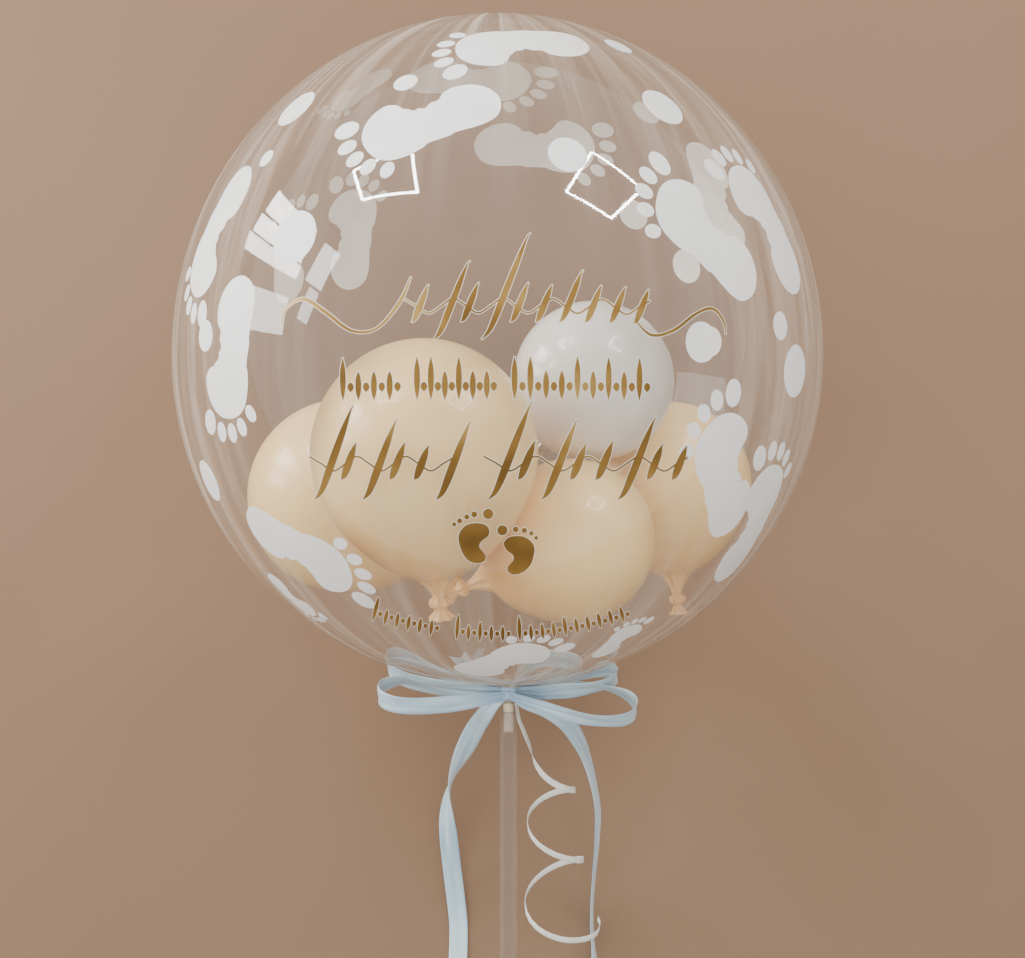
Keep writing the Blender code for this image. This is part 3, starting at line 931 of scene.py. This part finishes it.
def back_end_patch():
    route = smooth_route([Vector(point) for point in BOW_END], 0.004)
    across = Vector((1, 0, 0.3)).normalized()

    def place(u, v):
        half = RIBBON_WIDTH / 2 * (PINCH + (1 - PINCH) * smoothstep(0.0, 0.5, u))
        point = kept_under_film(read_along(route, u), across, RIBBON_WIDTH / 2 * PINCH)
        off = (v - 0.5) * 2
        notch = 0.010 * (1 - abs(off)) * smoothstep(0.85, 1.0, u)
        back = direction_at(route, u) * notch
        return point + across * off * half * 0.9 - back

    return thickened(patch(40, 8, place, (0.13, RIBBON_WIDTH)), SATIN_THICKNESS)


def wrap_shape():
    """Satin wound round the neck, in soft ridges."""
    inner = NECK_RADIUS + GAP
    profile = [(inner, WRAP_TOP)]
    for step in range(25):
        share = step / 24
        ridge = 0.5 + 0.5 * math.cos(2 * math.pi * 3 * share + 0.6)
        bulge = math.sin(math.pi * share) ** 0.5
        radius = inner + 0.0004 + (WRAP_WALL - 0.0008) * bulge + 0.0004 * ridge * bulge
        profile.append((radius, WRAP_TOP - WRAP_HEIGHT * share))
    profile.append((inner, WRAP_TOP - WRAP_HEIGHT))
    return turned(profile, 64, closed=True)


def knot_shape():
    """The knot: a soft block of satin drawn tight, with folds running down it."""
    bm = bmesh.new()
    bmesh.ops.create_cube(bm, size=1)
    bmesh.ops.subdivide_edges(bm, edges=bm.edges, cuts=14, use_grid_fill=True)
    # Painted shade over the whole knot
    drawn_in = bm.verts.layers.float.new("drawn_in")
    for vert in bm.verts:
        point = vert.co * 2
        length = (abs(point.x) ** 4 + abs(point.y) ** 4 + abs(point.z) ** 4) ** 0.25
        point = point / max(length, 1e-6) * max(abs(c) for c in point)
        fold = 0.05 * math.cos(13 * point.x + 2.5 * point.z) + 0.03 * math.cos(29 * point.x)
        waist = 1 - 0.10 * (1 - point.z**2)
        point = Vector((point.x * waist, point.y * (1 + fold), point.z))
        vert.co = Vector([c * size / 2 for c, size in zip(point, KNOT_SIZE)])
        vert.co += wrap_place(-90, KNOT_SIZE[1] / 2)
        vert[drawn_in] = 0.9
    coords = bm.loops.layers.uv.new("UVMap")
    for face in bm.faces:
        for loop in face.loops:
            loop[coords].uv = (loop.vert.co.z, loop.vert.co.x)
    return bm


def ribbon_bow(finish):
    shapes = [loop_patch(*loop, 2.2 + 0.4 * number) for number, loop in enumerate(BOW_LOOPS.values())]
    shapes += [back_end_patch(), wrap_shape(), knot_shape()]
    made = piece("satin_bow", joined(shapes), finish)
    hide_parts("ribbon_bow")


# Sealed balloons


def latex_profile(radius, rows=56):
    """(radius, height) pairs of a blown balloon, crown up, with neck, knot and lip."""
    profile = []
    for row in range(rows + 1):
        angle = math.pi * 0.93 * row / rows
        taper = smoothstep(math.pi * 0.5, math.pi * 0.93, angle)
        wide = radius * math.sin(angle) * (1 - 0.10 * taper)
        high = radius * math.cos(angle) * (1 + 0.10 * taper)
        profile.append((wide, high))
    neck = [
        (0.62, 0.006), (0.36, 0.012), (0.26, 0.017), (0.42, 0.0185), (0.50, 0.021), (0.42, 0.0235),
        (0.24, 0.025), (0.32, 0.028), (0.55, 0.032), (0.60, 0.033), (0.52, 0.0325), (0.18, 0.028),
        (0.0, 0.0275),
    ]
    return profile + [(wide * share, high - drop) for share, drop in neck]


def latex_balloon(name, middle, radius, stretch, neck_towards, finish):
    bm = turned(latex_profile(radius), 72)
    neck_share = bm.verts.layers.float.new("neck_share")
    crown_turn = Vector((0, 0, -1)).rotation_difference(Vector(neck_towards).normalized()).to_matrix()
    for vert in bm.verts:
        below = -vert.co.z / radius
        vert[neck_share] = smoothstep(0.25, 1.05, below)
        fold = max(0.0, below - 1.0)
        angle = math.atan2(vert.co.y, vert.co.x)
        pinch = 1 + 0.12 * min(1.0, fold * 8) * math.cos(7 * angle)
        place = Vector((vert.co.x * pinch, vert.co.y * pinch, vert.co.z * stretch))
        vert.co = crown_turn @ place + Vector(middle) + BUBBLE_CENTRE
    piece(name, bm, finish)


def sealed_balloons():
    cream = latex_finish("cream latex", colour(250, 213, 146), colour(240, 193, 128), 0.30)
    pearl = latex_finish("pearl latex", colour(226, 221, 212), colour(200, 189, 174), 0.22)
    finishes = {"cream": cream, "pearl": pearl}
    for name, (middle, radius, stretch, neck_towards, tone) in SMALL_BALLOONS.items():
        latex_balloon(name, middle, radius, stretch, neck_towards, finishes[tone])


# Prints


def spread_on_film(normal, towards, flat, lift):
    """Wraps a flat (along, across, height) shape on the film, with its origin at normal."""
    along = (towards - normal * towards.dot(normal)).normalized()
    across = normal.cross(along)
    for vert in flat.verts:
        x, y, z = vert.co
        length = math.hypot(x, y)
        if length < 1e-9:
            unit = normal.copy()
        else:
            step = (along * x + across * y) / length
            unit = normal * math.cos(length / BUBBLE_RADIUS) + step * math.sin(length / BUBBLE_RADIUS)
        vert.co = kept_off_flat(on_film(unit, lift + z))
    return flat


def filled_ring(outline, middle, rings, extra=0.0):
    """A flat disc inside an outline, in rings that shrink to its middle."""
    bm = bmesh.new()
    loop = [bm.verts.new((x, y, 0)) for x, y in outline]
    edges = [bm.edges.new(pair) for pair in zip(loop, loop[1:] + loop[:1])]
    centre = Vector((*middle, 0))
    for vert in loop:
        vert.co += (vert.co - centre).normalized() * extra
    for ring in range(rings, 0, -1):
        pushed = bmesh.ops.extrude_edge_only(bm, edges=edges)["geom"]
        edges = [part for part in pushed if isinstance(part, bmesh.types.BMEdge)]
        for vert in [part for part in pushed if isinstance(part, bmesh.types.BMVert)]:
            vert.co = centre + (vert.co - centre) * (ring - 1) / ring
    bmesh.ops.remove_doubles(bm, verts=bm.verts, dist=1e-7)
    return bm


def closed_route(points, steps):
    """A smooth closed outline through a few points, each (x, y)."""
    outline = []
    count = len(points)
    for number in range(count):
        a, b, c, d = (Vector(points[(number + k) % count]) for k in (-1, 0, 1, 2))
        outline += [tuple(bent(a, b, c, d, step / steps)) for step in range(steps)]
    return outline


def ellipse(middle, half_long, half_wide, lean=0.0, steps=24):
    x, y = middle
    outline = []
    for step in range(steps):
        turn = 2 * math.pi * step / steps
        along, across = half_long * math.cos(turn), half_wide * math.sin(turn)
        outline.append((x + along * math.cos(lean) - across * math.sin(lean),
                        y + along * math.sin(lean) + across * math.cos(lean)))
    return outline


def footprint(side, size):
    """Flat shapes of one footprint in metres: its sole and five toes, its origin midway from ball to heel."""

    def metres(points):
        return [((x - PRINT_BALL / 2) * size / 1000, y * side * size / 1000) for x, y in points]

    outlines = [(closed_route(SOLE, 3), SOLE_MIDDLE, 6)]
    for x, y, half_long, half_wide in TOES:
        lean = math.atan2(y, x - PRINT_BALL) * 0.7
        outlines.append((ellipse((x, y), half_long, half_wide, lean), (x, y), 2))
    return [filled_ring(metres(outline), metres([middle])[0], rings) for outline, middle, rings in outlines]


def print_sheet(name, prints, dots, back, finish):
    """All the white prints of the bubble's near or far side."""
    shapes = []
    lift = -PRINT_LIFT if back else PRINT_LIFT
    for ball_side, ball_height, heel_side, heel_height, side, size in prints:
        ball = film_direction(ball_side, ball_height, back)
        heel = film_direction(heel_side, heel_height, back)
        middle = (ball + heel).normalized()
        shapes += [spread_on_film(middle, ball - heel, flat, lift) for flat in footprint(side, size)]
    for side, height, radius in dots:
        disc = filled_ring(ellipse((0, 0), radius / 1000, radius / 1000, steps=40), (0, 0), 3)
        shapes.append(spread_on_film(film_direction(side, height, back), Vector((0, 0, 1)), disc, lift))
    piece(name, joined(shapes), finish)


def stroke(points, widths, lift, extra=0.0):
    """A pen stroke on the near film through (side, height) points in millimetres, with its widths there."""
    stations = [Vector((x, z, 0, width)) / 1000 for (x, z), width in zip(points, widths)]
    route = smooth_route(stations, 0.0012)
    steps = max(6, len(route))

    def place(u, v):
        x, z, _, width = read_along(route, u)
        along = direction_at(route, u)
        across = Vector((-along.y, along.x))
        off = (v - 0.5) * (width + 2 * extra)
        reach = (u - 0.5) * 2
        end = along.xy * extra * max(0.0, abs(reach) - 0.9) * 10 * (1 if reach > 0 else -1)
        unit = film_direction((x + across.x * off + end.x) * 1000, (z + across.y * off + end.y) * 1000)
        return on_film(unit, lift)

    return patch(steps, 3, place)


def slanted_strokes(start, base, gap, heights, thick, drop):
    """A row of leaning strokes that swell in their middle, strung on a fine wavy thread."""
    made = []
    for number, height in enumerate(heights):
        x = start + gap * number
        low = base - (drop if height > 40 else 0)
        tall = height + base - low
        points = [(x + lean * tall, low + rise * tall) for lean, rise in SLANTED_STROKE]
        made.append((points, [0.5, thick * 0.7, thick, thick * 0.8, 1.0, 0.5]))
    thread = [
        (start + gap * (step / 2 - 0.4), base + 11 + 5 * math.cos(math.pi * step / 2))
        for step in range(len(heights) * 2 + 1)
    ]
    made.append((thread, [1.2] * len(thread)))
    return made


def upright_strokes(start, gap, heights, middle, base, sag):
    """A row of upright strokes, tall and short, with a small lozenge after each."""
    made = []
    for number, height in enumerate(heights):
        x = start + gap * number
        low = base + sag * ((x - middle) / 95) ** 2
        lean = 2 * sag * (x - middle) / 95**2
        thick = 0.13 * max(heights)
        for across, bottom, top, swell in ((0, 0, 1, 1), (gap * 0.5, 0.28, 0.62, 1.1)):
            tall = height if across == 0 else 0.69 * max(heights)
            points = [(x + across - lean * tall * share, low + tall * share) for share in
                      (bottom, 0.7 * bottom + 0.3 * top, 0.3 * bottom + 0.7 * top, top)]
            made.append((points, [0.5, thick * swell, thick * swell, 0.5]))
    return made


def gold_print(gold, edge):
    strokes = list(FLOURISHES)
    for row in SLANTED_ROWS:
        strokes += slanted_strokes(*row)
    for row in UPRIGHT_ROWS:
        strokes += upright_strokes(*row)
    for name, finish, extra, lift in (
        ("gold_strokes_edge", edge, GOLD_EDGE, PRINT_LIFT),
        ("gold_strokes", gold, 0.0, GOLD_LIFT),
    ):
        shapes = [stroke(points, widths, lift, extra) for points, widths in strokes]
        discs = [
            filled_ring(closed_route(outline, 3), middle, 4, extra * 1000) for middle, outline in GOLD_SOLES
        ]
        discs += [filled_ring(ellipse((x, y), r, r), (x, y), 2, extra * 1000) for x, y, r in GOLD_TOES]
        for disc in discs:
            for vert in disc.verts:
                vert.co = on_film(film_direction(vert.co.x, vert.co.y), lift)
        shapes += discs
        piece(name, joined(shapes), finish)


def mirror_place(side, height, distance):
    """Where a light stands that is seen mirrored at a place on the near film."""
    unit = film_direction(side, height)
    spot = on_film(unit)
    out = Vector((unit.x / BUBBLE_RADIUS, unit.y / BUBBLE_RADIUS, unit.z / BUBBLE_RISE)).normalized()
    view = (AIM + Vector((0, -CAMERA_DISTANCE, 0)) - spot).normalized()
    return spot + (2 * view.dot(out) * out - view) * distance


def mirrored_light(name, corners, power, distance=2.2, thin=0.0):
    """A flat light that shows on the film with these corners, or as a thin line between two of them."""
    places = [mirror_place(side, height, distance) for side, height in corners]
    middle = sum(places, Vector()) / len(places)
    if thin:
        across = places[1] - places[0]
        wide, high = across.length, thin
    else:
        across = (places[1] - places[0] + places[2] - places[3]) / 2
        down = (places[3] - places[0] + places[2] - places[1]) / 2
        wide, high = across.length, down.length
    data = bpy.data.lights.new(name, "AREA")
    data.shape = "RECTANGLE"
    data.size, data.size_y = wide, high
    data.energy = power * wide * high
    lamp = added(name, data)
    back = (middle - BUBBLE_CENTRE).normalized()
    across = (across - back * across.dot(back)).normalized()
    turn = Matrix([across, back.cross(across), back]).transposed().to_4x4()
    lamp.matrix_world = UPRIGHT @ Matrix.Translation(middle) @ turn


def add_lights():
    """Plain soft studio light: a soft key, a paned window at the left and two thin bright frames."""
    for number, (power, corners) in enumerate(WINDOW_PANES):
        mirrored_light(f"window_pane_{number}", corners, power)
    for number, corners in enumerate(BRIGHT_FRAMES):
        for edge, pair in enumerate(zip(corners, corners[1:] + corners[:1])):
            mirrored_light(f"frame_{number}_{edge}", pair, FRAME_POWER, thin=0.03)
    sun = bpy.data.lights.new("soft_key", "SUN")
    sun.energy = 1.8
    sun.angle = math.radians(60)
    lamp = added("soft_key", sun)
    lamp.visible_glossy = False
    lamp.matrix_world = UPRIGHT @ Vector((0.10, 1.0, 0.08)).to_track_quat("-Z", "Z").to_matrix().to_4x4()
    world = bpy.data.worlds.new("studio")
    world.use_nodes = True
    backdrop = world.node_tree.nodes["Background"].inputs
    backdrop["Color"].default_value = (0.90, 0.88, 0.86, 1)
    backdrop["Strength"].default_value = 0.88
    bpy.context.scene.world = world


def add_floor():
    bm = bmesh.new()
    bmesh.ops.create_grid(bm, x_segments=4, y_segments=4, size=6)
    floor = added("floor", mesh_of("floor", bm))
    floor.data.materials.append(floor_finish().material)


add_camera()
satin = satin_finish()
ribbon_tail("ribbon_tail_left", LEFT_TAIL, satin)
ribbon_tail("ribbon_tail_right", RIGHT_TAIL, satin)
curl_length = curling_ribbon(curling_finish())
print("curling ribbon", round(curl_length, 4))

clear_bubble(film_finish())
band(elastic_finish())
stick(tube_finish())
ribbon_bow(satin)
sealed_balloons()
near_print = print_finish("white print", colour(236, 235, 232), colour(246, 246, 244), 0.95)
far_print = print_finish("white print far side", colour(240, 234, 226), colour(250, 247, 242), 0.86)
edge_print = print_finish("pale print edge", colour(232, 222, 200), colour(244, 236, 220), 0.85)
print_sheet("front_prints", FRONT_PRINTS, FRONT_DOTS, False, near_print)
print_sheet("back_prints", BACK_PRINTS, BACK_DOTS, True, far_print)
gold_print(gold_finish(), edge_print)
add_floor()
add_lights()
